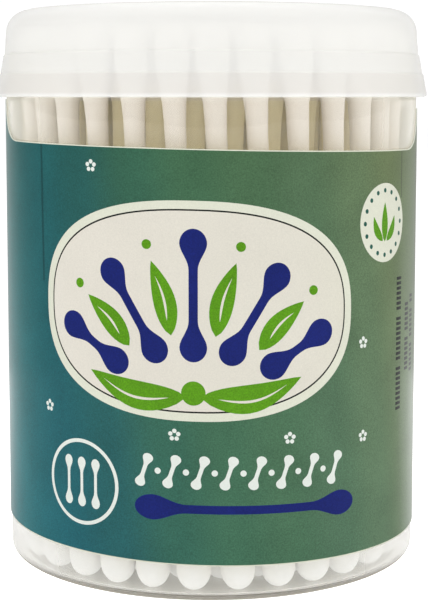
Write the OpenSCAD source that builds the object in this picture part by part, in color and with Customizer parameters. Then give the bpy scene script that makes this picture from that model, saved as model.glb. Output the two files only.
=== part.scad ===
// Round tub of cotton swabs: a clear cup, a press-fit lid, a wrapped label and the swabs inside.
// Millimetres, +Z up, front towards -Y, origin at the middle of the face that the tub stands on.

/* [Tub] */
// Outside diameter of the tub just below its neck
tub_d = 59.7; // [58:0.1:64]
// How much narrower the wall is at the floor than at the neck
tub_draft = 0.1; // [0.1:0.1:1]
// Thickness of the tub wall
wall_t = 0.8; // [0.6:0.05:1]
// Thickness of the floor
floor_t = 0.5; // [0.4:0.05:1]
// Height of the foot ring that keeps the middle of the floor off the table
foot_h = 0.25; // [0.1:0.05:0.6]
// Width of the foot ring
foot_w = 1.3; // [0.8:0.1:3]
// Radius of the lower outside edge
base_edge_r = 1.2; // [0.8:0.1:2]
// Thickness of the neck that the lid grips
neck_t = 0.6; // [0.5:0.05:0.7]
// Height of the neck
neck_h = 4.6; // [4:0.1:5]
// How far the retaining bead stands out of the neck
bead_out = 0.2; // [0.1:0.05:0.25]
// Height of the middle of the retaining bead below the rim
bead_drop = 1.75; // [1.5:0.05:2]

/* [Lid] */
// Height of the lid from its lower edge to its top
lid_h = 12.35; // [11.5:0.05:13.5]
// How far the flared lower edge stands out past the tub wall
lid_flare = 1.5; // [1.25:0.05:2]
// How far the start of the rounded shoulder lies inside the tub wall
shoulder_in = 0.15; // [-0.1:0.05:0.2]
// Radius of the shoulder
shoulder_r = 4.4; // [3:0.1:4.8]
// Wall thickness of the lid
lid_t = 0.9; // [0.8:0.05:1]
// Height of the upper step below the top
upper_step_drop = 6.25; // [5.5:0.05:6.8]
// Height of the lower step below the top
lower_step_drop = 9; // [8.1:0.1:9.5]
// How far each step stands out
step_out = 0.18; // [0.05:0.01:0.2]
// How far the rim lies below the top of the lid
rim_drop = 6.2; // [6:0.1:6.5]
// Free height between the swabs and the inside of the lid
lid_headroom = 1.9; // [1:0.1:3]
// Radial clearance between the retaining bead and the lid
lid_clearance = 0.15; // [0.1:0.01:0.2]
// Gap between the rim and the ledge that sits on it
lid_seat = 0.05; // [0.02:0.01:0.2]

/* [Label] */
// Thickness of the label film
label_t = 0.15; // [0.08:0.01:0.25]
// Thickness of the glue under the label
glue_t = 0.03; // [0.02:0.01:0.05]
// Height of the lower edge of the label
label_z = 4.95; // [3:0.05:8]
// Free band between the top of the label and the lid
label_lid_gap = 1; // [0.8:0.1:2]
// Depth of the window from the lower edge of the lid
window_drop = 6.6; // [3:0.05:10]
// Angle from the front to the left end of the window
window_left = -80; // [-100:0.5:-60]
// Angle from the front to the right end of the window
window_right = 81; // [60:0.5:100]
// Radius of the lower corners of the window
window_r = 8; // [5:0.5:9]
// How far the label was wrapped out of true
label_skew = 1.3; // [0:0.1:1.6]
// Width of the glued overlap at the back
overlap_w = 6; // [3:0.5:12]

/* [Swabs] */
// Length of a swab from tip to tip
swab_l = 75; // [70:0.5:80]
// Diameter of a stick
stick_d = 2.4; // [2:0.1:2.8]
// Depth of the stick's end below the tip of the bud
stick_inset = 2.2; // [2:0.1:4]
// Width left free in the middle of the swabs: the buds share what is left out to the wall
core_d = 9.06; // [8.1:0.06:12]
// Length of a cotton bud
bud_l = 18; // [12:0.5:20]
// Distance from the tip to the widest place of a bud
bud_belly = 2.8; // [2.5:0.1:5]
// Thickness of the cotton where it ends on the stick
bud_end_t = 0.18; // [0.1:0.01:0.4]
// Swabs in the outer ring
ring_1_swabs = 30; // [1:1:33]
// Swabs in the second ring
ring_2_swabs = 26; // [1:1:27]
// Swabs in the third ring
ring_3_swabs = 21; // [1:1:21]
// Swabs in the fourth ring
ring_4_swabs = 15; // [1:1:15]
// Swabs in the inner ring
ring_5_swabs = 8; // [1:1:8]
// How much of the free space in a ring the swabs wander through
wander = 0.75; // [0:0.05:0.9]

/* [Hidden] */
$fn = 96;

// Clearances between swabs, tub and floor
wall_gap = 0.1;
bud_gap = 0.08;
swab_seat = 0.05;
pocket_gap = 0.02;

// Heights, worked out from the length of the swabs
floor_z = foot_h + floor_t;
lid_top_z = floor_z + swab_seat + swab_l + lid_headroom + lid_t;
lid_z = lid_top_z - lid_h;
rim_z = lid_top_z - rim_drop;
neck_z = rim_z - neck_h;
bead_z = rim_z - bead_drop;
window_z = lid_z - window_drop;
label_top_z = lid_z - label_lid_gap;

// Radii and small heights of the tub
tub_r = tub_d / 2;
base_r = tub_r - tub_draft / 2;
neck_in = 0.45;
neck_r = tub_r - neck_in;
neck_step_h = 0.5;
neck_bore_r = neck_r - neck_t;
bore_step_drop = 1.2;
bore_step_h = 0.8;
bead_r = neck_r + bead_out;
bead_flat_h = 0.3;
bead_ramp_h = 0.35;
rim_edge = 0.15;
inner_edge_r = 0.5;
foot_r = base_r - base_edge_r - foot_w;

// Radii and small heights of the lid
lid_r = tub_r + lid_flare;
lid_shoulder_out_r = tub_r - shoulder_in;
lid_chamfer = 0.45;
skirt_taper = 0.1;
grip_r = bead_r + lid_clearance;
grip_z = neck_z + 0.5;
grip_ramp_h = 0.7;
grip_flat_h = 0.4;
bead_room_r = grip_r + 0.1;
bead_room_h = 0.6;
seat_r = neck_r - rim_edge;
seat_z = rim_z + lid_seat;
step_h = 0.25;

// How each ring of swabs is turned, leans and wanders: outer ring first
ring_swabs = [ring_1_swabs, ring_2_swabs, ring_3_swabs, ring_4_swabs, ring_5_swabs];
ring_phase = [7.7, 3, 10, -6, 20];
ring_lean = [-7.5, 6, -7, 8, -9];
ring_waves = [7, 9, 8, 4, 3];
lower_wave_start = 40;
upper_wave_start = 200;
most_wander = 3;
rings = len(ring_swabs);
bud_d = (neck_bore_r - wall_gap - core_d / 2 - (rings - 1) * bud_gap) / rings;
outer_ring_r = neck_bore_r - wall_gap - bud_d / 2;
ring_pitch = bud_d + bud_gap;

// Points on a circular arc in the plane of a profile
function arc(centre, r, from, to, steps) = [
    for (i = [0 : steps])
        let (a = from + (to - from) * i / steps)
        [centre[0] + r * cos(a), centre[1] + r * sin(a)]
];

// Outside radius of the tub wall at a height
wall_top_z = neck_z - neck_step_h;
function wall_r(z) = base_r + (tub_r - base_r) * (z - base_edge_r) / (wall_top_z - base_edge_r);

// Outside radius of the lid at a distance below its shoulder, without the steps
lid_arc_end = 7;
lid_side_z = lid_top_z - shoulder_r * (1 - sin(lid_arc_end));
lid_side_r = lid_shoulder_out_r - shoulder_r * (1 - cos(lid_arc_end));
lid_slope = (lid_r - lid_side_r - 2 * step_out) / (lid_side_z - lid_z - lid_chamfer);
function lid_side(z) = lid_side_r + (lid_side_z - z) * lid_slope;

// Half section of the tub, from the middle of the underside round to the middle of the floor
function tub_section() = concat(
    [[0, foot_h],
     [foot_r, foot_h],
     [foot_r + foot_h, 0]],
    arc([base_r - base_edge_r, base_edge_r], base_edge_r, -90, 0, 6),
    [[tub_r, wall_top_z],
     [neck_r, neck_z],
     [neck_r, bead_z - bead_flat_h / 2 - bead_ramp_h],
     [bead_r, bead_z - bead_flat_h / 2],
     [bead_r, bead_z + bead_flat_h / 2],
     [neck_r, bead_z + bead_flat_h / 2 + bead_ramp_h],
     [neck_r, rim_z - rim_edge],
     [neck_r - rim_edge, rim_z],
     [neck_bore_r + rim_edge, rim_z],
     [neck_bore_r, rim_z - rim_edge],
     [neck_bore_r, neck_z - bore_step_drop],
     [tub_r - wall_t, neck_z - bore_step_drop - bore_step_h]],
    arc([base_r - wall_t - inner_edge_r, floor_z + inner_edge_r], inner_edge_r, 0, -90, 4),
    [[0, floor_z]]
);

// Half section of the lid, from the middle of its top down the outside and up the inside
shoulder_c = [lid_shoulder_out_r - shoulder_r, lid_top_z - shoulder_r];
upper_step_z = lid_top_z - upper_step_drop;
lower_step_z = lid_top_z - lower_step_drop;
function lid_section() = concat(
    [[0, lid_top_z]],
    arc(shoulder_c, shoulder_r, 90, lid_arc_end, 8),
    [[lid_side(upper_step_z), upper_step_z],
     [lid_side(upper_step_z) + step_out, upper_step_z - step_h],
     [lid_side(lower_step_z) + step_out, lower_step_z],
     [lid_side(lower_step_z) + 2 * step_out, lower_step_z - step_h],
     [lid_r, lid_z + lid_chamfer],
     [lid_r - lid_chamfer, lid_z],
     [lid_r - lid_t, lid_z],
     [lid_r - lid_t - skirt_taper, grip_z],
     [grip_r, grip_z + grip_ramp_h],
     [grip_r, grip_z + grip_ramp_h + grip_flat_h],
     [bead_room_r, bead_z - bead_room_h],
     [bead_room_r, bead_z + bead_room_h],
     [grip_r, seat_z],
     [seat_r, seat_z]],
    arc(shoulder_c, shoulder_r - lid_t, lid_arc_end, 90, 6),
    [[0, lid_top_z - lid_t]]
);

// Half section of a bud, its tip at the origin: blunt tip, belly, taper, and a pocket for the stick
tip_power = 0.85;
taper = [[0.1, 0.97], [0.25, 0.75], [0.45, 0.27], [0.66, 0.1], [1, 0]];
bud_end_r = stick_d / 2 + bud_end_t;
pocket_r = stick_d / 2 + pocket_gap;
pocket_z = stick_inset - pocket_gap;
function bud_section() = concat(
    [for (a = [-90 : 15 : 0]) [bud_d / 2 * pow(max(cos(a), 0), tip_power), bud_belly * (1 + sin(a))]],
    [for (t = taper)
        [bud_end_r + (bud_d / 2 - bud_end_r) * t[1], bud_belly + (bud_l - bud_belly) * t[0]]],
    [[pocket_r, bud_l],
     [pocket_r, pocket_z],
     [0, pocket_z]]
);

// Radius of a ring, how many swabs it holds, and the turn that each has to spare
function ring_r(ring) = outer_ring_r - (ring - 1) * ring_pitch;
function turn_needed(ring) = 2 * asin((bud_d + bud_gap / 2) / (2 * ring_r(ring)));
function swab_count(ring) = min(ring_swabs[ring - 1], floor(360 / turn_needed(ring)));
function turn_spare(ring) = 360 / swab_count(ring) - turn_needed(ring);

// Angle from the front of the lower and upper end of a swab: even spacing, with a soft wave on it
function wave(ring, i, start) =
    let (n = swab_count(ring), waves = ring_waves[ring - 1])
    wander * min(turn_spare(ring), most_wander) / 2 * sin(start + waves * i * 360 / n);
function lower_angle(ring, i) =
    ring_phase[ring - 1] + i * 360 / swab_count(ring) + wave(ring, i, lower_wave_start);
function upper_angle(ring, i) =
    ring_phase[ring - 1] + ring_lean[ring - 1] + i * 360 / swab_count(ring) + wave(ring, i, upper_wave_start);

// Puts a swab that stands on the origin in its place, leaning from its lower to its upper end
module in_place(ring, i) {
    r = ring_r(ring);
    a = lower_angle(ring, i);
    b = upper_angle(ring, i);
    foot = [r * sin(a), -r * cos(a)];
    head = [r * sin(b), -r * cos(b)];
    run = head - foot;
    translate([foot[0], foot[1], floor_z + swab_seat])
        rotate([0, asin(norm(run) / swab_l), atan2(run[1], run[0])])
            children();
}

module bud() {
    rotate_extrude() polygon(bud_section());
}

// Clear cup with a foot ring, a neck and a retaining bead
module tub() {
    color([0.86, 0.88, 0.86, 0.4])
        rotate_extrude() polygon(tub_section());
}

// Milky cap with a rounded shoulder, two fine steps, a grip ledge and a flared lower edge
module lid() {
    color([0.95, 0.95, 0.93, 0.8])
        rotate_extrude() polygon(lid_section());
}

// Sector of a disc from one angle to another, both measured from the front
module sector(from, to, r) {
    steps = 8;
    polygon(concat(
        [[0, 0]],
        [for (i = [0 : steps])
            let (a = from + (to - from) * i / steps)
            [r * sin(a), -r * cos(a)]]
    ));
}

// Conical layer of film that follows the wall
module film(inner, thickness) {
    low = label_z / 2;
    rotate_extrude() polygon([
        [wall_r(low) + inner, low],
        [wall_r(low) + inner + thickness, low],
        [tub_r + inner + thickness, wall_top_z],
        [tub_r + inner, wall_top_z]
    ]);
}

// Front window with rounded lower corners, open at the top. Its floor lies a trace above the lowest line
// of the corner rounds, so that the two surfaces cross cleanly instead of only touching
corner_dip = 0.02;
module window() {
    corner_turn = window_r / tub_r * 180 / PI;
    reach = tub_r * 1.2;
    left = window_left + corner_turn;
    right = window_right - corner_turn;
    translate([0, 0, window_z + corner_dip])
        linear_extrude(height = lid_h)
            sector(left, right, reach);
    for (a = [left, right])
        rotate([0, 0, a])
            translate([0, 0, window_z + window_r])
                rotate([90, 0, 0])
                    cylinder(h = reach, r = window_r);
}

// Label: one wrapped film, lower in front, glued over its own end at the back
module label() {
    overlap_turn = overlap_w / tub_r * 180 / PI;
    color([0.22, 0.42, 0.38])
        difference() {
            intersection() {
                union() {
                    film(glue_t, label_t);
                    intersection() {
                        film(glue_t, 2 * label_t);
                        linear_extrude(height = lid_z)
                            sector(180 - overlap_turn, 180, tub_r * 1.2);
                    }
                }
                rotate([0, label_skew, 0])
                    translate([0, 0, label_z])
                        cylinder(h = label_top_z - label_z, r = tub_r * 1.2);
            }
            rotate([0, label_skew, 0])
                window();
        }
}

// Sticks of one ring
module sticks(ring) {
    color([0.93, 0.92, 0.87])
        for (i = [0 : swab_count(ring) - 1])
            in_place(ring, i)
                translate([0, 0, stick_inset])
                    cylinder(h = swab_l - 2 * stick_inset, d = stick_d);
}

// Cotton buds on the lower ends of one ring
module lower_buds(ring) {
    color([0.96, 0.95, 0.92])
        for (i = [0 : swab_count(ring) - 1])
            in_place(ring, i)
                bud();
}

// Cotton buds on the upper ends of one ring
module upper_buds(ring) {
    color([0.96, 0.95, 0.92])
        for (i = [0 : swab_count(ring) - 1])
            in_place(ring, i)
                translate([0, 0, swab_l])
                    mirror([0, 0, 1])
                        bud();
}

tub();
label();
lid();
sticks(1);  // sticks_ring_1
sticks(2);  // sticks_ring_2
sticks(3);  // sticks_ring_3
sticks(4);  // sticks_ring_4
sticks(5);  // sticks_ring_5
lower_buds(1);  // lower_buds_ring_1
lower_buds(2);  // lower_buds_ring_2
lower_buds(3);  // lower_buds_ring_3
lower_buds(4);  // lower_buds_ring_4
lower_buds(5);  // lower_buds_ring_5
upper_buds(1);  // upper_buds_ring_1
upper_buds(2);  // upper_buds_ring_2
upper_buds(3);  // upper_buds_ring_3
upper_buds(4);  // upper_buds_ring_4
upper_buds(5);  // upper_buds_ring_5
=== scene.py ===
import math
import random

import bpy
import numpy as np
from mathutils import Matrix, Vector, noise
from mathutils.geometry import delaunay_2d_cdt


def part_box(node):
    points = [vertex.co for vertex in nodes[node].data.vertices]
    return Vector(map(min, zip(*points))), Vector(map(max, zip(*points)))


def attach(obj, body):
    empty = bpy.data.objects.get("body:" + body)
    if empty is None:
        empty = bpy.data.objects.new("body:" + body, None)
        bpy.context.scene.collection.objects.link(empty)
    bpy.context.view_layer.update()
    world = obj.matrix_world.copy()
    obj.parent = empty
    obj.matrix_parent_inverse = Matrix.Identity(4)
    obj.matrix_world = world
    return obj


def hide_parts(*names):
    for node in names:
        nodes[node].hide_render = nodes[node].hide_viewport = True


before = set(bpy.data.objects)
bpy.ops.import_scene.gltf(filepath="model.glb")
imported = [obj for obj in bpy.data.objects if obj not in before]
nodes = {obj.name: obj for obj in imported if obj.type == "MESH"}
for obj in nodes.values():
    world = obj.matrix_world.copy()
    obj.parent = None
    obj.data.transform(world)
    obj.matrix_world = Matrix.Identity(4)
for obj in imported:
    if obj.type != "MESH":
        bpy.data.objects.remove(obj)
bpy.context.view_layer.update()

MM = 0.001
TAU = 2 * math.pi


# Meshes

def make(name, verts, faces, materials, smooth=30, face_material=None):
    """Mesh object from millimetres, smooth below an angle in degrees."""
    mesh = bpy.data.meshes.new(name)
    mesh.from_pydata([(x * MM, y * MM, z * MM) for x, y, z in verts], [], faces)
    for material in materials:
        mesh.materials.append(material)
    if face_material is not None:
        mesh.polygons.foreach_set("material_index", face_material)
    mesh.polygons.foreach_set("use_smooth", [True] * len(mesh.polygons))
    mesh.update()
    mesh.set_sharp_from_angle(angle=math.radians(smooth))
    thing = bpy.data.objects.new(name, mesh)
    bpy.context.collection.objects.link(thing)
    return thing


def lathe(profile, steps, first=0):
    """Body of revolution from a profile that starts and ends on the axis. Its vertices count from first."""
    verts, faces, rows = [], [], []
    for r, z in profile:
        if r == 0:
            rows.append([first + len(verts)])
            verts.append((0, 0, z))
        else:
            rows.append([first + len(verts) + k for k in range(steps)])
            verts += [(r * math.sin(TAU * k / steps), -r * math.cos(TAU * k / steps), z)
                      for k in range(steps)]
    for low, high in zip(rows, rows[1:]):
        for k in range(steps):
            n = (k + 1) % steps
            a, b = low[k % len(low)], low[n % len(low)]
            c, d = high[n % len(high)], high[k % len(high)]
            if a == b:
                faces.append([a, c, d])
            elif c == d:
                faces.append([a, b, c])
            else:
                faces.append([a, b, c, d])
    return verts, faces


MOST_CUT = 0.48


def rounded(profile, steps):
    """Profile of points (r, z, radius), with a round in place of each corner that has a radius.

    A round takes no more than a set share of the sides that it joins.
    """
    out = []
    for i, (r, z, *radius) in enumerate(profile):
        if not radius:
            out.append((r, z))
            continue
        corner = Vector((r, z))
        back = Vector(profile[i - 1][:2]) - corner
        ahead = Vector(profile[i + 1][:2]) - corner
        half = back.angle(ahead) / 2
        cut = min(radius[0] / math.tan(half), back.length * MOST_CUT, ahead.length * MOST_CUT)
        back.normalize()
        ahead.normalize()
        centre = corner + (back + ahead).normalized() * (cut / math.cos(half))
        start, end = corner + back * cut - centre, corner + ahead * cut - centre
        turn = start.angle_signed(end)
        for k in range(steps + 1):
            c, s = math.cos(turn * k / steps), math.sin(turn * k / steps)
            out.append((centre.x + start.x * c + start.y * s, centre.y - start.x * s + start.y * c))
    return out


# Shader nodes

def new_material(name, **values):
    """Material with its node tree and its shader, whose inputs are set by name, with _ for a space."""
    material = bpy.data.materials.new(name)
    material.use_nodes = True
    tree = material.node_tree
    shader = tree.nodes["Principled BSDF"]
    for key, value in values.items():
        shader.inputs[key.replace("_", " ")].default_value = value
    return material, tree, shader


def show(tree, surface):
    """Makes a shader the surface of its material."""
    tree.links.new(surface, tree.nodes["Material Output"].inputs["Surface"])


def add(tree, kind, inputs=None, **settings):
    """Node with its settings made and its inputs set or linked."""
    node = tree.nodes.new(kind)
    for key, value in settings.items():
        setattr(node, key, value)
    for key, value in (inputs or {}).items():
        if isinstance(value, bpy.types.NodeSocket):
            tree.links.new(value, node.inputs[key])
        else:
            node.inputs[key].default_value = value
    return node


def grey(v):
    return (v, v, v, 1.0)


def srgb(code):
    """Linear colour of a hex code."""
    parts = [int(code[i:i + 2], 16) / 255 for i in (0, 2, 4)]
    return tuple(c / 12.92 if c <= 0.04045 else ((c + 0.055) / 1.055) ** 2.4 for c in parts) + (1.0,)


def ramp(tree, factor, stops, interpolation="LINEAR"):
    """Colour ramp of (place, colour) stops."""
    node = tree.nodes.new("ShaderNodeValToRGB")
    node.color_ramp.interpolation = interpolation
    items = node.color_ramp.elements
    while len(items) < len(stops):
        items.new(0.5)
    for item, (place, colour) in zip(items, stops):
        item.position = place
        item.color = colour
    tree.links.new(factor, node.inputs["Fac"])
    return node.outputs["Color"]


def round_stops(table, colour):
    """Ramp stops of a table by degrees from the front, with a colour made of each entry."""
    return [((degrees + 180) / 360, colour(value)) for degrees, value in table]


def calc(tree, operation, a, b=0.0, c=0.0):
    return add(tree, "ShaderNodeMath", {0: a, 1: b, 2: c}, operation=operation).outputs[0]


def ranged(tree, value, source, result):
    """The value, carried from one range over to another and held at the ends."""
    return add(tree, "ShaderNodeMapRange",
               {0: value, 1: source[0], 2: source[1], 3: result[0], 4: result[1]}).outputs[0]


def blended(tree, share, first, second):
    """The first colour, with a share of the second."""
    return add(tree, "ShaderNodeMix", {0: share, 6: first, 7: second}, data_type="RGBA").outputs[2]


def scaled(tree, colour, amount):
    return add(tree, "ShaderNodeVectorMath", {0: colour, "Scale": amount}, operation="SCALE").outputs[0]


def object_place(tree):
    return add(tree, "ShaderNodeTexCoord").outputs["Object"]


def height_in(tree, place):
    return add(tree, "ShaderNodeSeparateXYZ", {0: place}).outputs["Z"]


def cloud(tree, place, scale, detail):
    return add(tree, "ShaderNodeTexNoise", {"Vector": place, "Scale": scale, "Detail": detail}).outputs["Fac"]


def let_light_in(tree, shown, amount, tint):
    """The surface as it is seen, but one that lets through a share of the shadow and diffuse rays."""
    path = add(tree, "ShaderNodeLightPath")
    free = calc(tree, "MAXIMUM", path.outputs["Is Shadow Ray"], path.outputs["Is Diffuse Ray"])
    through = add(tree, "ShaderNodeBsdfTransparent", {"Color": tint}).outputs[0]
    share = calc(tree, "MULTIPLY", free, amount)
    return add(tree, "ShaderNodeMixShader", {0: share, 1: shown, 2: through}).outputs[0]


# Materials

def clear_material():
    """Clear glossy plastic: glass with a haze that grows where the wall is seen edge on, a painted shade at
    the foot, and no shadow.
    """
    material, tree, shader = new_material("clear_plastic", Base_Color=(0.985, 0.985, 0.975, 1), Roughness=0.0,
                                          IOR=1.46, Transmission_Weight=1.0)
    edge = add(tree, "ShaderNodeLayerWeight", {"Blend": 0.5}).outputs["Facing"]
    cloudy = ranged(tree, edge, (0.15, 0.95), (0.05, 0.7))
    height = height_in(tree, object_place(tree))
    # Mask of the bottom edge, where a painted shade makes the haze dark and cloudy
    foot = ranged(tree, height, (0.0006, 0.0008), (1.0, 0.0))
    lower = ranged(tree, height, (0.012, 0.05), (1.0, 0.5))
    neck = ranged(tree, height, (0.055, 0.058), (0.0, 1.0))
    cloudy = calc(tree, "MULTIPLY", cloudy, calc(tree, "MULTIPLY_ADD", neck, 0.5, lower))
    cloudy = calc(tree, "MAXIMUM", cloudy, calc(tree, "MULTIPLY", foot, 0.7))
    # The haze is warmer and darker up the neck, and dark at the bottom edge as painted shade
    tone = blended(tree, neck, (0.92, 0.91, 0.885, 1), (0.8, 0.775, 0.69, 1))
    tone = blended(tree, foot, tone, (0.37, 0.345, 0.3, 1))
    haze = add(tree, "ShaderNodeBsdfDiffuse", {"Color": tone}).outputs[0]
    body = add(tree, "ShaderNodeMixShader", {0: cloudy, 1: shader.outputs[0], 2: haze}).outputs[0]
    show(tree, let_light_in(tree, body, 1.0, (0.98, 0.98, 0.97, 1)))
    return material


def lid_material():
    """Milky natural plastic: soft white with a little light passing, a painted shade that makes the lower
    wall darker and warmer, and a painted highlight along its bottom edge.
    """
    material, tree, shader = new_material("milky_plastic", Roughness=0.32, IOR=1.49, Specular_IOR_Level=0.3,
                                          Coat_Weight=0.35, Coat_Roughness=0.12, Sheen_Weight=0.3,
                                          Sheen_Roughness=0.4)
    place = object_place(tree)
    height = height_in(tree, place)
    # Painted shade: the wall below the upper step is darker and warmer
    skirt_shade = ranged(tree, height, (0.0693, 0.0696), (1.0, 0.0))
    # Painted highlight: a white line along the bottom edge
    lip_highlight = ranged(tree, height, (0.0666, 0.0669), (1.0, 0.0))
    tone = blended(tree, skirt_shade, (0.944, 0.941, 0.93, 1), (0.9, 0.882, 0.862, 1))
    tone = blended(tree, lip_highlight, tone, grey(1.0))
    amount = ranged(tree, cloud(tree, place, 70.0, 2.0), (0.3, 0.7), (0.98, 1.0))
    tree.links.new(scaled(tree, tone, amount), shader.inputs["Base Color"])
    through = add(tree, "ShaderNodeBsdfTransparent", {"Color": (0.97, 0.97, 0.965, 1)}).outputs[0]
    milky = add(tree, "ShaderNodeMixShader", {0: 0.45, 1: shader.outputs[0], 2: through}).outputs[0]
    show(tree, let_light_in(tree, milky, 0.75, (0.98, 0.97, 0.93, 1)))
    return material


def cotton_material():
    """Wound cotton: white head, warmer where it thins out, partly the stick showing through and partly a
    painted shade on the inner rings, fibres round the bud, matte with a faint sheen.
    """
    material, tree, shader = new_material("cotton", Roughness=0.92, Specular_IOR_Level=0.15,
                                          Sheen_Weight=0.12, Sheen_Roughness=0.5)
    wound = add(tree, "ShaderNodeAttribute", attribute_name="wound").outputs["Vector"]
    thin = add(tree, "ShaderNodeAttribute", attribute_name="thin").outputs["Fac"]
    fibre = add(tree, "ShaderNodeTexNoise",
                {"Vector": wound, "Scale": 2.2, "Detail": 4.0, "Roughness": 0.65}).outputs["Fac"]
    fluff = cloud(tree, object_place(tree), 900.0, 3.0)
    relief = calc(tree, "ADD", calc(tree, "MULTIPLY", fibre, 0.65), calc(tree, "MULTIPLY", fluff, 0.35))
    # Thin cotton turns warm: partly the stick showing through, partly painted shade on the inner rings
    tint = ramp(tree, thin, [(0, (0.985, 0.98, 0.97, 1)), (0.5, (0.862, 0.792, 0.72, 1)),
                             (1, (0.97, 0.87, 0.58, 1))])
    amount = ranged(tree, relief, (0.35, 0.62), (0.965, 1.0))
    tree.links.new(scaled(tree, tint, amount), shader.inputs["Base Color"])
    bump = add(tree, "ShaderNodeBump", {"Height": relief, "Strength": 0.35, "Distance": 0.00012})
    tree.links.new(bump.outputs["Normal"], shader.inputs["Normal"])
    return material


def stick_material():
    """White plastic with fine drawn lines along the stick."""
    material, tree, shader = new_material("white_stick", Roughness=0.45)
    drawn = add(tree, "ShaderNodeMapping", {"Vector": object_place(tree), "Scale": (900, 900, 30)}).outputs[0]
    lines = cloud(tree, drawn, 1.0, 2.0)
    tint = ramp(tree, lines, [(0.3, (0.86, 0.8, 0.66, 1)), (0.7, (0.9, 0.85, 0.72, 1))])
    tree.links.new(tint, shader.inputs["Base Color"])
    return material


# Millimetres up the film that the wrap's second coordinate counts as 1. The rest is in such shares:
# the level where the colours are as given, how far they turn with height, and the green cast with the blue
WRAP_H = 80.0
WRAP_MIDDLE = 0.41
WRAP_LEAN = 0.055
GREEN_WITH_BLUE = 0.45


def colour_round_tub(tree, stops, bluer_below):
    """Ramp round the tub that leans a little with height, and turns bluer below the middle."""
    wrap = add(tree, "ShaderNodeSeparateXYZ", {0: add(tree, "ShaderNodeUVMap", uv_map="wrap").outputs[0]})
    above = calc(tree, "SUBTRACT", wrap.outputs["Y"], WRAP_MIDDLE)
    below = calc(tree, "SUBTRACT", WRAP_MIDDLE, wrap.outputs["Y"])
    turn = calc(tree, "ADD", wrap.outputs["X"], calc(tree, "MULTIPLY", above, WRAP_LEAN))
    cast = add(tree, "ShaderNodeCombineXYZ",
               {0: 1.0, 1: calc(tree, "MULTIPLY_ADD", below, GREEN_WITH_BLUE * bluer_below, 1.0),
                2: calc(tree, "MULTIPLY_ADD", below, bluer_below, 1.0)}).outputs[0]
    return add(tree, "ShaderNodeVectorMath", {0: ramp(tree, turn, stops, "EASE"), 1: cast},
               operation="MULTIPLY").outputs[0]


def print_material(name, colour, spread=0.26, bluer_below=0.0):
    """Printed film: one colour or stops round the tub, with the fine grain of a print, under a gloss."""
    material, tree, shader = new_material(name, Roughness=0.3, Specular_IOR_Level=0.4,
                                          Coat_Weight=0.4, Coat_Roughness=0.05)
    place = object_place(tree)
    fine = calc(tree, "MULTIPLY", cloud(tree, place, 5200.0, 1.0), 0.7)
    broad = calc(tree, "MULTIPLY", cloud(tree, place, 160.0, 3.0), 0.3)
    amount = ranged(tree, calc(tree, "ADD", fine, broad), (0.3, 0.7), (1 - spread, 1 + spread))
    base = colour_round_tub(tree, colour, bluer_below) if isinstance(colour, list) else colour[:3]
    tree.links.new(scaled(tree, base, amount), shader.inputs["Base Color"])
    show(tree, let_light_in(tree, shader.outputs[0], 0.7, (1, 0.95, 0.8, 1)))
    return material


CLEAR = clear_material()
MILKY = lid_material()
COTTON = cotton_material()
STICK = stick_material()

# Colours round the label, by degrees from the front
TEAL_TO_GREEN = [(-180, "3b6f63"), (-75, "227577"), (-45, "1c6268"), (-30, "23605f"), (-15, "356956"),
                 (0, "416e52"), (15, "4a7152"), (30, "527356"), (45, "5f7a5a"), (60, "697d59"),
                 (110, "64795b"), (180, "3b6f63")]
PAPER = [(-60, "e7e3da"), (-35, "e0dbcf"), (20, "dedacd"), (60, "dad9c6")]
CREASE_SHADE = 0.6


def creased(code):
    """A colour of the film in the shade of a crease."""
    return tuple(CREASE_SHADE * v for v in srgb(code)[:3]) + (1,)


FILM = print_material("label_film", round_stops(TEAL_TO_GREEN, srgb), bluer_below=0.45)
CREAM = print_material("label_cream", round_stops(PAPER, srgb), 0.05)
NAVY = print_material("label_navy", srgb("0e1f72"))
LEAF = print_material("label_leaf", srgb("5a9a00"))
PINE = print_material("label_pine", srgb("1f5d50"))
WHITE = print_material("label_white", srgb("e3e9e2"), 0.04)
INK = print_material("label_ink", srgb("141a17"))
SHADED_CREASE = print_material("label_crease_shade", round_stops(TEAL_TO_GREEN, creased), bluer_below=0.45)
RIM = print_material("label_rim", srgb("dddfcd"), 0.05)
PRINTS = [FILM, CREAM, NAVY, LEAF, PINE, WHITE, INK, SHADED_CREASE, RIM]


# Tub and lid, in millimetres

def extent(node):
    """Radius, lowest and highest level of a node, to the hundredth."""
    low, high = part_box(node)
    return [round(v / MM, 2) for v in (high[0], low[2], high[2])]


TUB_R, TUB_Z, RIM_Z = extent("tub")
LID_R, LID_Z, LID_TOP = extent("lid")

TUB_DRAFT = 0.05
WALL_T = 0.8
FLOOR_T = 0.5
FOOT_H = 0.25
FOOT_W = 1.3
BASE_EDGE_R = 1.2
NECK_IN = 0.45
NECK_T = 0.6
NECK_H = 4.6
NECK_STEP_H = 0.5
BORE_STEP_DROP = 1.2
BORE_STEP_H = 0.8
BEAD_OUT = 0.2
BEAD_DROP = 1.75
BEAD_FLAT_H = 0.3
BEAD_RAMP_H = 0.35
NECK_R = TUB_R - NECK_IN
NECK_Z = RIM_Z - NECK_H
BEAD_R = NECK_R + BEAD_OUT
BEAD_Z = RIM_Z - BEAD_DROP


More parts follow.
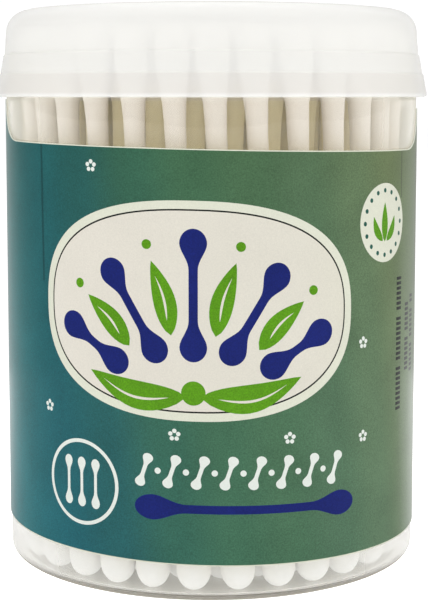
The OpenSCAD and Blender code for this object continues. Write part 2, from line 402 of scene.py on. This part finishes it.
def tub_profile():
    """Half section of the tub, from the middle underneath round to the middle inside."""
    foot_r = TUB_R - BASE_EDGE_R - FOOT_W
    base_r = TUB_R - TUB_DRAFT
    floor_z = FOOT_H + FLOOR_T
    bore_r = NECK_R - NECK_T
    bore_z = NECK_Z - BORE_STEP_DROP
    bead_low = BEAD_Z - BEAD_FLAT_H / 2
    bead_high = BEAD_Z + BEAD_FLAT_H / 2
    return rounded([
        (0, FOOT_H),
        (foot_r, FOOT_H, 0.1),
        (foot_r + FOOT_H, TUB_Z, 0.1),
        (base_r, TUB_Z, BASE_EDGE_R),
        (TUB_R, NECK_Z - NECK_STEP_H, 0.4),
        (NECK_R, NECK_Z, 0.3),
        (NECK_R, bead_low - BEAD_RAMP_H, 0.3),
        (BEAD_R, bead_low, 0.2),
        (BEAD_R, bead_high, 0.2),
        (NECK_R, bead_high + BEAD_RAMP_H, 0.3),
        (NECK_R, RIM_Z, 0.15),
        (bore_r, RIM_Z, 0.15),
        (bore_r, bore_z, 0.6),
        (TUB_R - WALL_T, bore_z - BORE_STEP_H, 0.6),
        (base_r - WALL_T, floor_z, 0.5),
        (0, floor_z),
    ], 6)


LID_T = 0.9
LID_SEAT = 0.05
LID_CLEARANCE = 0.15
SHOULDER_R = 4.4
SHOULDER_CORNER_R = 29.62
ROOF_CORNER_R = 28.8
UPPER_STEP_DROP = 6.25
UPPER_STEP_IN, UPPER_STEP_OUT = 30.05, 30.24
LOWER_STEP_DROP = 9.0
LOWER_STEP_IN, LOWER_STEP_OUT = 30.68, 30.86
STEP_H = 0.25
LIP_CHAMFER = 0.45
LIP_EDGE_IN, LIP_EDGE_H = 0.02, 0.15
SKIRT_TAPER = 0.1
GRIP_RISE = 0.5
GRIP_RAMP_H = 0.7
GRIP_FLAT_H = 0.4
BEAD_ROOM_DEPTH = 0.1
BEAD_ROOM_H = 1.2
LEDGE_IN = 0.15


def lid_profile():
    """Half section of the lid, from the middle of its top down the outside and up the inside."""
    upper_z = LID_TOP - UPPER_STEP_DROP
    lower_z = LID_TOP - LOWER_STEP_DROP
    skirt_r = LID_R - LID_T
    grip_r = BEAD_R + LID_CLEARANCE
    grip_z = NECK_Z + GRIP_RISE
    room_r = grip_r + BEAD_ROOM_DEPTH
    ledge_z = RIM_Z + LID_SEAT
    roof_z = LID_TOP - LID_T
    return rounded([
        (0, LID_TOP),
        (SHOULDER_CORNER_R, LID_TOP, SHOULDER_R),
        (UPPER_STEP_IN, upper_z, 0.2),
        (UPPER_STEP_OUT, upper_z - STEP_H, 0.2),
        (LOWER_STEP_IN, lower_z, 0.2),
        (LOWER_STEP_OUT, lower_z - STEP_H, 0.2),
        (LID_R, LID_Z + LIP_CHAMFER, 0.2),
        (LID_R - LIP_EDGE_IN, LID_Z + LIP_EDGE_H, 0.1),
        (LID_R - LIP_CHAMFER, LID_Z, 0.1),
        (skirt_r, LID_Z, 0.1),
        (skirt_r - SKIRT_TAPER, grip_z, 0.3),
        (grip_r, grip_z + GRIP_RAMP_H, 0.3),
        (grip_r, grip_z + GRIP_RAMP_H + GRIP_FLAT_H, 0.15),
        (room_r, BEAD_Z - BEAD_ROOM_H / 2, 0.15),
        (room_r, BEAD_Z + BEAD_ROOM_H / 2, 0.15),
        (grip_r, ledge_z, 0.1),
        (NECK_R - LEDGE_IN, ledge_z, 0.2),
        (ROOF_CORNER_R, roof_z, SHOULDER_R - LID_T),
        (0, roof_z),
    ], 8)


TURN_STEPS = 256
tub = make("clear_tub", *lathe(tub_profile(), TURN_STEPS), [CLEAR])
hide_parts("tub")
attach(tub, "tub")

lid = make("milky_lid", *lathe(lid_profile(), TURN_STEPS), [MILKY])
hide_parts("lid")
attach(lid, "lid")


# Swabs, in millimetres

BUD_L = 18.0
BUD_R = 2.36
BUD_BELLY = 2.8
BUD_TIP_POWER = 0.85
BUD_END_R = 1.35
BUD_END_CHAMFER = 0.06
BUD_END_ROUND = 0.19
STICK_INSET = 2.2
STICK_END = 3.0
STICK_LEAST_L = 20.0
RELIEF = 0.05
RELIEF_SUNK = 0.02
RELIEF_FULL_R = 1.6
RIDGE_WIND = 0.55
FIBRE_WIND = 0.9
THIN_START = 6.5
THIN_RUN = 3.5


def islands(node):
    """Vertices of each connected part of a node, in millimetres."""
    mesh = nodes[node].data
    points = np.empty(len(mesh.vertices) * 3)
    mesh.vertices.foreach_get("co", points)
    points = points.reshape(-1, 3) / MM
    edges = np.empty(len(mesh.edges) * 2, dtype=int)
    mesh.edges.foreach_get("vertices", edges)
    edges = edges.reshape(-1, 2)
    part = np.arange(len(points))
    while True:
        low = np.minimum(part[edges[:, 0]], part[edges[:, 1]])
        before = part.copy()
        np.minimum.at(part, edges[:, 0], low)
        np.minimum.at(part, edges[:, 1], low)
        part = part[part]
        if (before == part).all():
            break
    return [points[part == k] for k in np.unique(part)]


def swab_tips(node):
    """Lower and upper tip of each swab of a ring, from its stick. The sticks' end discs are passed over."""
    tips = []
    for points in islands(node):
        low, high = points[:, 2].min(), points[:, 2].max()
        if high - low < STICK_LEAST_L:
            continue
        foot = points[points[:, 2] < low + STICK_END].mean(axis=0)
        head = points[points[:, 2] > high - STICK_END].mean(axis=0)
        run = (head - foot) / np.linalg.norm(head - foot)
        tips.append((Vector(foot - run * STICK_INSET), Vector(head + run * STICK_INSET)))
    return sorted(tips, key=lambda tip: math.atan2(tip[0].x, -tip[0].y))


def bud_profile(tip_rows, body_rows):
    """Blunt tip at the origin, belly, taper and the thin end on the stick."""
    taper = [(0, 1.0), (0.1, 0.97), (0.25, 0.76), (0.35, 0.5), (0.45, 0.28), (0.66, 0.1), (1.0, 0.0)]
    points = [(0, 0)]
    for k in range(1, tip_rows + 1):
        a = math.pi / 2 * k / tip_rows
        points.append((BUD_R * math.sin(a) ** BUD_TIP_POWER, BUD_BELLY * (1 - math.cos(a))))
    for k in range(1, body_rows + 1):
        t = k / body_rows
        share = np.interp(t, *zip(*taper))
        points.append((BUD_END_R + (BUD_R - BUD_END_R) * share, BUD_BELLY + (BUD_L - BUD_BELLY) * t))
    return points + [(BUD_END_R - BUD_END_CHAMFER, BUD_L + 0.1), (BUD_END_R - BUD_END_ROUND, BUD_L + 0.12),
                     (0, BUD_L - 0.2)]


def fibre_relief(angle, z, shift):
    """How far the cotton stands out of the smooth bud: soft lumps, and ridges that wind round it."""
    wound = angle - z * RIDGE_WIND
    soft = noise.noise(Vector((math.cos(angle), math.sin(angle), z * 0.35 + shift)) * 1.3)
    ridge = noise.noise(Vector((math.cos(wound), math.sin(wound), shift)) * 2.4)
    return RELIEF * (soft + ridge) - RELIEF_SUNK


def buds(name, node, placed, steps, rows, seed, ring_warmth_and_shade):
    """One ring of cotton buds, each a little different. The last argument tells how warm the thin cotton
    looks: partly the stick showing through, partly a painted shade for the inner rings seen between the
    swabs.
    """
    chance = random.Random(seed)
    profile = bud_profile(*rows)
    verts, faces, wound, thin = [], [], [], []
    for tip, towards in placed:
        axis = (towards - tip).normalized()
        side = axis.cross(Vector((0, 1, 0))).normalized()
        front = axis.cross(side)
        turn, shift = chance.uniform(0, TAU), chance.uniform(0, 100)
        width = chance.uniform(0.975, 1.005)
        points, quads = lathe(profile, steps, len(verts))
        for x, y, z in points:
            angle, r = math.atan2(y, x), math.hypot(x, y)
            fade = min(1, r / RELIEF_FULL_R) if z <= BUD_L else 0.0
            r = r * width + fade * fibre_relief(angle, z, shift)
            across = side * (r * math.cos(angle + turn)) + front * (r * math.sin(angle + turn))
            verts.append(tuple(tip + across + axis * z))
            w = angle - z * FIBRE_WIND
            wound.append((1.5 * math.cos(w), 1.5 * math.sin(w), z * 0.22 + shift))
            # How warm the cotton turns near the stick, with painted shade on the inner rings included
            thin.append(ring_warmth_and_shade * min(1.0, max(0.0, (z - THIN_START) / THIN_RUN)))
        faces += quads
    thing = make(name, verts, faces, [COTTON], smooth=80)
    field = thing.data.attributes.new("wound", "FLOAT_VECTOR", "POINT")
    field.data.foreach_set("vector", [c for w in wound for c in w])
    thing.data.attributes.new("thin", "FLOAT", "POINT").data.foreach_set("value", thin)
    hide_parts(node)
    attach(thing, "tub")


# For each ring: steps round a bud, its rows of tip and body, and how warm its thin cotton looks, more on the
# inner rings as a painted shade between the swabs
RING_DETAIL = {
    1: (32, (9, 14), 0.5),
    2: (24, (7, 11), 1.0),
    3: (18, (6, 9), 1.0),
    4: (16, (5, 8), 1.0),
    5: (16, (5, 8), 1.0),
}
for ring, (steps, rows, ring_warmth_and_shade) in RING_DETAIL.items():
    sticks = nodes[f"sticks_ring_{ring}"]
    sticks.data.materials.clear()
    sticks.data.materials.append(STICK)
    tips = swab_tips(f"sticks_ring_{ring}")
    turned = [(high, low) for low, high in tips]
    buds(f"cotton_lower_{ring}", f"lower_buds_ring_{ring}", tips, steps, rows, 10 + ring, ring_warmth_and_shade)
    buds(f"cotton_upper_{ring}", f"upper_buds_ring_{ring}", turned, steps, rows, 20 + ring, ring_warmth_and_shade)


# Label. It is drawn flat, in millimetres: u runs round the tub from the front to the right, z runs up

LABEL_R = 29.83
GLUE_T = 0.03
FILM_T = 0.15
SKEW = math.tan(math.radians(1.3))
LABEL_Z = 4.95
LABEL_LID_GAP = 1.0
LABEL_TOP = LID_Z - LABEL_LID_GAP
WINDOW_DROP = 6.6
WINDOW_Z = LID_Z - WINDOW_DROP
WINDOW_R = 8.0
WINDOW_LEFT = -80.0
WINDOW_RIGHT = 81.0
OVERLAP = 6.0
OVERLAP_STEP = 0.03
HALF = math.pi * LABEL_R - 0.02
SEAM = HALF - OVERLAP
MESH_STEP = 1.6


def u_of(degrees):
    return math.radians(degrees) * LABEL_R


def ellipse(u, z, a, b, n=72, power=2.0):
    """Ellipse, or a squarer one with a higher power."""
    out = []
    for k in range(n):
        c, s = math.cos(TAU * k / n), math.sin(TAU * k / n)
        out.append((u + a * math.copysign(abs(c) ** (2 / power), c),
                    z + b * math.copysign(abs(s) ** (2 / power), s)))
    return out


def disc(u, z, r, n=64):
    return ellipse(u, z, r, r, n)


def box(u0, z0, u1, z1):
    return [(u0, z0), (u1, z0), (u1, z1), (u0, z1)]


def stroke(points, width):
    """Outline of a line along points, with round ends."""
    turns = [math.pi * k / 8 for k in range(1, 8)]
    left, right = [], []
    for i, point in enumerate(points):
        before = Vector(points[max(i - 1, 0)])
        after = Vector(points[min(i + 1, len(points) - 1)])
        along = (after - before).normalized() * width / 2
        across = Vector((-along.y, along.x))
        p = Vector(point)
        if i == 0:
            left += [tuple(p - across * math.cos(t) - along * math.sin(t)) for t in turns]
        left.append(tuple(p + across))
        right.append(tuple(p - across))
        if i == len(points) - 1:
            left += [tuple(p + across * math.cos(t) + along * math.sin(t)) for t in turns]
    return left + right[::-1]


def swab(u0, z0, u1, z1, stick, bud, length, n=6):
    """A swab as one outline: a rounded, tapering bud at each end of a thin stick."""
    belly = 0.36
    a, b = Vector((u0, z0)), Vector((u1, z1))
    total = (b - a).length
    along = (b - a) / total
    across = Vector((-along.y, along.x))
    half = []
    for k in range(n + 1):
        t = math.pi / 2 * k / n
        half.append((belly * length * (1 - math.cos(t)), bud / 2 * math.sin(t)))
    for k in range(1, n + 1):
        t = k / n
        fall = 0.5 + 0.5 * math.cos(math.pi * t ** 0.9)
        half.append((length * (belly + (1 - belly) * t), stick / 2 + (bud - stick) / 2 * fall))
    half += [(total - s, w) for s, w in half[::-1]]
    left = [tuple(a + along * s + across * w) for s, w in half]
    right = [tuple(a + along * s - across * w) for s, w in half[1:-1]]
    return left + right[::-1]


def leaf(u0, z0, u1, z1, width, bend, n=14):
    """A leaf from its stalk to its tip, bent to one side."""
    a, b = Vector((u0, z0)), Vector((u1, z1))
    along = b - a
    across = Vector((-along.y, along.x)).normalized()
    left, right = [], []
    for k in range(n + 1):
        t = k / n
        middle = a + along * t + across * bend * math.sin(math.pi * t)
        w = width / 2 * math.sin(math.pi * t ** 0.8) ** 0.85
        left.append(tuple(middle + across * w))
        if 0 < k < n:
            right.append(tuple(middle - across * w))
    return left + right[::-1]


art = []


def paint(colour, outline):
    art.append((PRINTS.index(colour), outline))


def paint_creases():
    """Painted shade of fine creases where the film bends over the ends of the window."""
    paint(SHADED_CREASE, [(-25.75, 41.0), (-25.35, 41.0), (-25.75, 64.2), (-26.2, 64.2)])
    paint(SHADED_CREASE, box(31.7, 53.0, 32.05, 64.2))


PANEL_U, PANEL_Z = -2.3, 38.6
PANEL_A, PANEL_B = 22.3, 14.4
PANEL_POWER = 2.4


def paint_panel():
    """A soft squarish oval with a fine line inside its edge."""
    for colour, inset in ((RIM, 0.0), (INK, 1.1), (CREAM, 1.31)):
        paint(colour, ellipse(PANEL_U, PANEL_Z, PANEL_A - inset, PANEL_B - inset, 120, PANEL_POWER))


FAN_U, FAN_Z = PANEL_U, 25.0


def from_fan(degrees, reach):
    """The point of the fan at an angle from upright and a distance from its root."""
    t = math.radians(degrees)
    return FAN_U + reach * math.sin(t), FAN_Z + reach * math.cos(t)


def paint_fan():
    """Five swabs with leaves and dots between them, over two larger leaves."""
    for degrees, start, reach in ((-58, 10.5, 22.2), (-31, 8.0, 23.2), (0, 7.0, 24.4),
                                  (31, 8.0, 23.2), (58, 10.5, 22.2)):
        paint(NAVY, swab(*from_fan(degrees, start), *from_fan(degrees, reach), 1.2, 3.6, 5.4, 8))
    for degrees, start, reach in ((-44.5, 12.2, 21.0), (-15.5, 10.8, 20.8), (15.5, 10.8, 20.8),
                                  (44.5, 12.2, 21.0)):
        bend = math.copysign(0.35, degrees)
        paint(LEAF, leaf(*from_fan(degrees, start), *from_fan(degrees, reach), 3.0, bend))
        paint(CREAM, leaf(*from_fan(degrees, start + 2), *from_fan(degrees, reach - 2), 0.32, bend))
        paint(LEAF, disc(*from_fan(degrees, 23.0), 0.65, 20))
    for side in (-1, 1):
        paint(LEAF, leaf(FAN_U + side * 1.0, FAN_Z + 2.3, FAN_U + side * 14.4, FAN_Z + 5.0,
                         3.8, -side * 1.3))
        paint(CREAM, leaf(FAN_U + side * 3.2, FAN_Z + 2.2, FAN_U + side * 12.4, FAN_Z + 4.1,
                          0.34, -side * 1.15))
    paint(LEAF, disc(FAN_U, FAN_Z + 2.9, 1.6, 36))


def paint_disc():
    """Pale disc at the right: a circle of dots round three leaves."""
    u, z = 27.0, 49.8
    paint(RIM, disc(u, z, 5.4))
    for k in range(16):
        t = TAU * k / 16
        paint(PINE, disc(u + 4.4 * math.cos(t), z + 4.4 * math.sin(t), 0.32, 14))
    paint(LEAF, leaf(u, z - 2.6, u, z + 2.8, 1.5, 0.0))
    for side in (-1, 1):
        paint(LEAF, leaf(u + side * 0.5, z - 2.5, u + side * 2.6, z + 0.9, 1.3, side * -0.4))


def paint_ring():
    """Ring at the lower left with three upright swabs."""
    u, z = -18.4, 14.5
    paint(WHITE, disc(u, z, 5.85))
    paint(FILM, disc(u, z, 5.35))
    for side in (-1, 0, 1):
        paint(WHITE, swab(u + side * 2.3, z - 3.4, u + side * 2.3, z + 3.4, 0.45, 1.35, 2.2, 4))


def paint_row():
    """Row of small leaning swabs with dots between, and one long swab below it."""
    count, pitch, to_dot = 8, 3.75, 1.87
    z, half_h, lean = 17.4, 2.2, 0.75
    for k in range(count):
        u = -8.9 + pitch * k
        paint(WHITE, swab(u - lean, z - half_h, u + lean, z + half_h, 0.55, 1.45, 1.7, 4))
        if k < count - 1:
            paint(WHITE, disc(u + to_dot, z, 0.42, 16))
    paint(NAVY, swab(-10.2, 12.5, 20.6, 12.5, 1.15, 3.4, 7.0, 9))


def paint_ticks():
    """Columns of fine ticks up the right side, in groups."""
    for u, low, high, group in ((30.6, 23.3, 41.9, 9), (33.8, 28.5, 37.9, 7), (36.2, 28.0, 39.1, 6)):
        k, z = 0, low
        while z < high:
            paint(INK, box(u, z, u + 1.6, z + 0.43))
            k += 1
            z += 1.45 if k % group == 0 else 0.7


def paint_blossoms():
    """Small blossoms of five petals."""
    for u, z in ((-16.5, 57.0), (-24.5, 24.0), (22.4, 33.8), (-4.8, 22.3), (22.5, 21.0), (10.5, 21.9)):
        for k in range(5):
            t = TAU * k / 5 + 0.3
            paint(WHITE, disc(u + 0.55 * math.cos(t), z + 0.55 * math.sin(t), 0.3, 10))


def paint_back():
    """Back of the label: at each side a ring with a swab and two leaves, over plain lines."""
    z = 44.0
    for side in (-1, 1):
        u = side * u_of(125)
        paint(CREAM, disc(u, z, 9.0, 72))
        paint(FILM, disc(u, z, 8.4, 72))
        paint(CREAM, swab(u - 4.6, z - 4.6, u + 4.6, z + 4.6, 0.7, 2.4, 4.2))
        paint(LEAF, leaf(u + 1.2, z - 5.0, u + 5.2, z - 1.6, 2.0, -0.4))
        paint(LEAF, leaf(u - 1.2, z + 5.0, u - 5.2, z + 1.6, 2.0, -0.4))
        for k, length in enumerate((17, 15, 18, 13, 9)):
            paint(CREAM, box(u - length / 2, 30 - 3 * k, u + length / 2, 30.5 - 3 * k))


def window_edge():
    """Edge of the window from its right to its left end: round corners, cut off by the top of the film."""
    left, right = u_of(WINDOW_LEFT) + WINDOW_R, u_of(WINDOW_RIGHT) - WINDOW_R
    first = math.asin(1 - (LABEL_TOP - WINDOW_Z) / WINDOW_R)
    turns = [first + (math.pi / 2 - first) * k / 12 for k in range(13)]
    points = [(right + WINDOW_R * math.cos(t), WINDOW_Z + WINDOW_R * (1 - math.sin(t))) for t in turns]
    points += [(left - WINDOW_R * math.cos(t), WINDOW_Z + WINDOW_R * (1 - math.sin(t))) for t in turns[::-1]]
    points[0] = (points[0][0], LABEL_TOP)
    points[-1] = (points[-1][0], LABEL_TOP)
    return points


def paint_edges():
    """A fine light line along the cut edge of the film."""
    width = 0.3
    paint(RIM, stroke(window_edge(), width))
    paint(RIM, stroke([(-HALF, LABEL_Z), (HALF, LABEL_Z)], width))


def inside(outline, us, zs):
    """Which of the points lie in the outline."""
    hit = np.zeros(len(us), dtype=bool)
    for (ax, ay), (bx, by) in zip(outline, outline[1:] + outline[:1]):
        if ay == by:
            continue
        crosses = (ay > zs) != (by > zs)
        hit ^= crosses & (us < ax + (zs - ay) * (bx - ax) / (by - ay))
    return hit


def split(outline):
    """Same outline with no edge longer than the mesh's step."""
    out = []
    for (ax, ay), (bx, by) in zip(outline, outline[1:] + outline[:1]):
        parts = max(1, math.ceil(math.hypot(bx - ax, by - ay) / MESH_STEP))
        out += [(ax + (bx - ax) * k / parts, ay + (by - ay) * k / parts) for k in range(parts)]
    return out


def film_outline():
    """Border of the film: lower edge, right end, top with the window in it, left end."""
    return [(-HALF, LABEL_Z), (HALF, LABEL_Z), (HALF, LABEL_TOP)] + window_edge() + [(-HALF, LABEL_TOP)]


def flat_film():
    """The film laid flat: points, triangles, and the print of each triangle."""
    border = split(film_outline())
    points, edges = [], []
    for outline in [border] + [split(outline) for _, outline in art]:
        start, n = len(points), len(outline)
        points += outline
        edges += [(start + i, start + (i + 1) % n) for i in range(n)]
    height = LABEL_TOP - LABEL_Z
    rows = math.ceil(height / MESH_STEP)
    for u in (SEAM - OVERLAP_STEP, SEAM):
        start = len(points)
        points += [(u, LABEL_Z + height * k / rows) for k in range(rows + 1)]
        edges += [(start + k, start + k + 1) for k in range(rows)]
    for i in range(1, int(2 * HALF / MESH_STEP)):
        offset = MESH_STEP / 2 if i % 2 else 0
        points += [(-HALF + i * MESH_STEP, LABEL_Z + j * MESH_STEP + offset)
                   for j in range(1, int(height / MESH_STEP))]
    flat, _, triangles, *_ = delaunay_2d_cdt([Vector(p) for p in points], edges, [], 0, 1e-4)
    flat, triangles = np.array([tuple(p) for p in flat]), np.array(triangles)
    centre = flat[triangles].mean(axis=1)
    keep = inside(border, centre[:, 0], centre[:, 1])
    triangles, centre = triangles[keep], centre[keep]
    a, b, c = flat[triangles[:, 0]], flat[triangles[:, 1]], flat[triangles[:, 2]]
    area = (b[:, 0] - a[:, 0]) * (c[:, 1] - a[:, 1]) - (b[:, 1] - a[:, 1]) * (c[:, 0] - a[:, 0])
    triangles[area < 0] = triangles[area < 0][:, ::-1]
    prints = np.zeros(len(triangles), dtype=int)
    for colour, outline in art:
        prints[inside(outline, centre[:, 0], centre[:, 1])] = colour
    used, triangles = np.unique(triangles, return_inverse=True)
    return flat[used], triangles.reshape(-1, 3), prints


def open_edges(triangles):
    """Edges that only one triangle has."""
    edges = set()
    for t in triangles:
        for a, b in ((t[0], t[1]), (t[1], t[2]), (t[2], t[0])):
            if (b, a) in edges:
                edges.remove((b, a))
            else:
                edges.add((a, b))
    return sorted(edges)


def wrapped_film():
    """The film bent round the tub: an outer and an inner layer with a rim, thicker over its own end."""
    flat, triangles, prints = flat_film()
    n = len(flat)
    verts, wrap = [], []
    for outer in (True, False):
        for u, z in flat:
            s, c = math.sin(u / LABEL_R), math.cos(u / LABEL_R)
            layers = 2 if u > SEAM - OVERLAP_STEP / 2 else 1
            r = TUB_R + GLUE_T + (FILM_T * layers if outer else 0)
            verts.append((r * s, -r * c, z - LABEL_R * s * SKEW))
            wrap.append((0.5 + u / (2 * HALF), z / WRAP_H))
    rim = open_edges(triangles)
    faces = [tuple(t) for t in triangles] + [tuple(t[::-1] + n) for t in triangles]
    faces += [(a, a + n, b + n, b) for a, b in rim]
    kinds = list(prints) + [PRINTS.index(FILM)] * len(triangles) + [PRINTS.index(WHITE)] * len(rim)
    return verts, faces, kinds, wrap


paint_creases()
paint_panel()
paint_fan()
paint_disc()
paint_ring()
paint_row()
paint_ticks()
paint_blossoms()
paint_back()
paint_edges()

verts, faces, kinds, wrap = wrapped_film()
label = make("wrapped_label", verts, faces, PRINTS, 40, kinds)
order = np.empty(len(label.data.loops), dtype=int)
label.data.loops.foreach_get("vertex_index", order)
label.data.uv_layers.new(name="wrap").data.foreach_set("uv", np.array(wrap)[order].ravel())
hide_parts("label")
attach(label, "tub")


# Floor

FLOOR_HALF = 3000


def floor_material():
    """White paper that glows a little: less close round the tub, a painted shadow under it, and for the
    camera less again far off.
    """
    material, tree, shader = new_material("floor_paper", Base_Color=grey(0.93), Roughness=0.9,
                                          Specular_IOR_Level=0.1, Emission_Color=grey(1.0))
    seen = add(tree, "ShaderNodeLightPath").outputs["Is Camera Ray"]
    away = add(tree, "ShaderNodeVectorMath", {0: object_place(tree)}, operation="LENGTH").outputs["Value"]
    # It glows less close round the tub: a painted shadow under it
    glow_with_painted_shadow = ranged(tree, away, (0.026, 0.055), (0.34, 0.46))
    glow_seen = ranged(tree, away, (0.08, 0.14), (0.4, -0.3))
    tree.links.new(calc(tree, "MULTIPLY_ADD", seen, glow_seen, glow_with_painted_shadow), shader.inputs["Emission Strength"])
    return material


corners = [(x * FLOOR_HALF, y * FLOOR_HALF, 0) for x, y in ((-1, -1), (1, -1), (1, 1), (-1, 1))]
floor = make("floor", corners, [(0, 1, 2, 3)], [floor_material()])
floor.visible_glossy = False


# Studio

# Brightness of the room that glossy surfaces mirror, by degrees from the front, higher up and lower down
ROOM_ABOVE = [(-180, 0.97), (-150, 0.65), (-140, 0.5), (-130, 0.3), (-118, 0.2), (-105, 0.1), (-80, 0.08),
              (-30, 0.07), (30, 0.08), (90, 0.2), (118, 0.26), (126, 0.34), (128, 0.46), (132, 0.66),
              (139, 0.7), (150, 0.67), (180, 0.7)]
ROOM_BELOW = [(-180, 1.05), (-150, 0.78), (-140, 0.6), (-130, 0.42), (-118, 0.33), (-105, 0.22), (-80, 0.12),
              (-30, 0.07), (30, 0.08), (90, 0.2), (118, 0.26), (126, 0.35), (128, 0.52), (132, 0.78),
              (150, 1.08), (180, 0.9)]


def mirrored_room(tree, direction):
    """Walls with light and dark stretches under a bright ceiling."""
    level = direction.outputs["Z"]
    back = calc(tree, "MULTIPLY", direction.outputs["Y"], -1.0)
    azimuth = calc(tree, "ARCTAN2", direction.outputs["X"], back)
    azimuth = calc(tree, "MULTIPLY", azimuth, ranged(tree, level, (-0.27, -0.2), (0.95, 1.0)))
    around = calc(tree, "ADD", calc(tree, "DIVIDE", azimuth, TAU), 0.5)
    above = scaled(tree, ramp(tree, around, round_stops(ROOM_ABOVE, grey)),
                   ranged(tree, level, (-0.17, 0.02), (0.84, 0.55)))
    below = scaled(tree, ramp(tree, around, round_stops(ROOM_BELOW, grey)),
                   ranged(tree, level, (-0.28, -0.2), (0.7, 1.1)))
    walls = blended(tree, ranged(tree, level, (-0.187, -0.176), (1.0, 0.0)), above, below)
    ceiling = ranged(tree, level, (0.45, 0.9), (0.0, 1.8))
    return add(tree, "ShaderNodeVectorMath", {0: walls, 1: ceiling}, operation="ADD").outputs[0]


def soft_light(tree, direction):
    """Even light that grows towards the ceiling and the two sides."""
    height = calc(tree, "ADD", calc(tree, "MULTIPLY", direction.outputs["Z"], 0.5), 0.5)
    soft = ramp(tree, height, [(0.0, grey(0.44)), (0.5, grey(0.49)), (0.75, grey(0.75)), (1.0, grey(1.1))])
    aside = calc(tree, "ABSOLUTE", direction.outputs["X"])
    return scaled(tree, soft, ranged(tree, aside, (0.25, 1.0), (0.93, 1.5)))


def studio_world():
    """White to the camera, a room to glossy rays and soft light to the rest."""
    world = bpy.data.worlds.new("studio")
    world.use_nodes = True
    tree = world.node_tree
    direction = add(tree, "ShaderNodeSeparateXYZ", {0: add(tree, "ShaderNodeTexCoord").outputs["Generated"]})
    path = add(tree, "ShaderNodeLightPath")
    light = blended(tree, path.outputs["Is Glossy Ray"], soft_light(tree, direction),
                    mirrored_room(tree, direction))
    shown = blended(tree, path.outputs["Is Camera Ray"], light, grey(1.05))
    tree.links.new(shown, tree.nodes["Background"].inputs["Color"])
    bpy.context.scene.world = world


MIDDLE = Vector((0, 0, 0.04))


def area_light(name, place, size, power, mirrored=False):
    """Rectangular light that looks at the middle of the tub."""
    data = bpy.data.lights.new(name, "AREA")
    data.shape = "RECTANGLE"
    data.size, data.size_y = size
    data.energy = power
    thing = bpy.data.objects.new(name, data)
    thing.location = place
    thing.rotation_euler = (MIDDLE - Vector(place)).to_track_quat("-Z", "Y").to_euler()
    thing.visible_glossy = mirrored
    bpy.context.collection.objects.link(thing)


studio_world()
area_light("key", (-0.35, -0.75, 0.65), (0.5, 0.5), 0.1)
area_light("fill", (0.6, -0.5, 0.35), (0.5, 0.5), 0.08)
area_light("top", (0.0, 0.15, 0.9), (0.6, 0.6), 0.9, mirrored=True)
area_light("rear", (0.1, 0.9, 0.4), (0.7, 0.4), 0.4)


# Camera

EYE = (0.000375, -0.2237, 0.06675)
PITCH = 5.53
SENSOR_W = 36
FOCAL_PIXELS = 1514
PHOTO_H = 600
SHIFT_UP = -0.1

data = bpy.data.cameras.new("camera")
data.sensor_width = SENSOR_W
data.lens = FOCAL_PIXELS * SENSOR_W / PHOTO_H
data.shift_y = SHIFT_UP
data.clip_start, data.clip_end = 0.01, 20
camera = bpy.data.objects.new("camera", data)
camera.location = EYE
camera.rotation_euler = (math.radians(90 - PITCH), 0, 0)
bpy.context.collection.objects.link(camera)
bpy.context.scene.camera = camera
bpy.context.scene.view_settings.view_transform = "Standard"
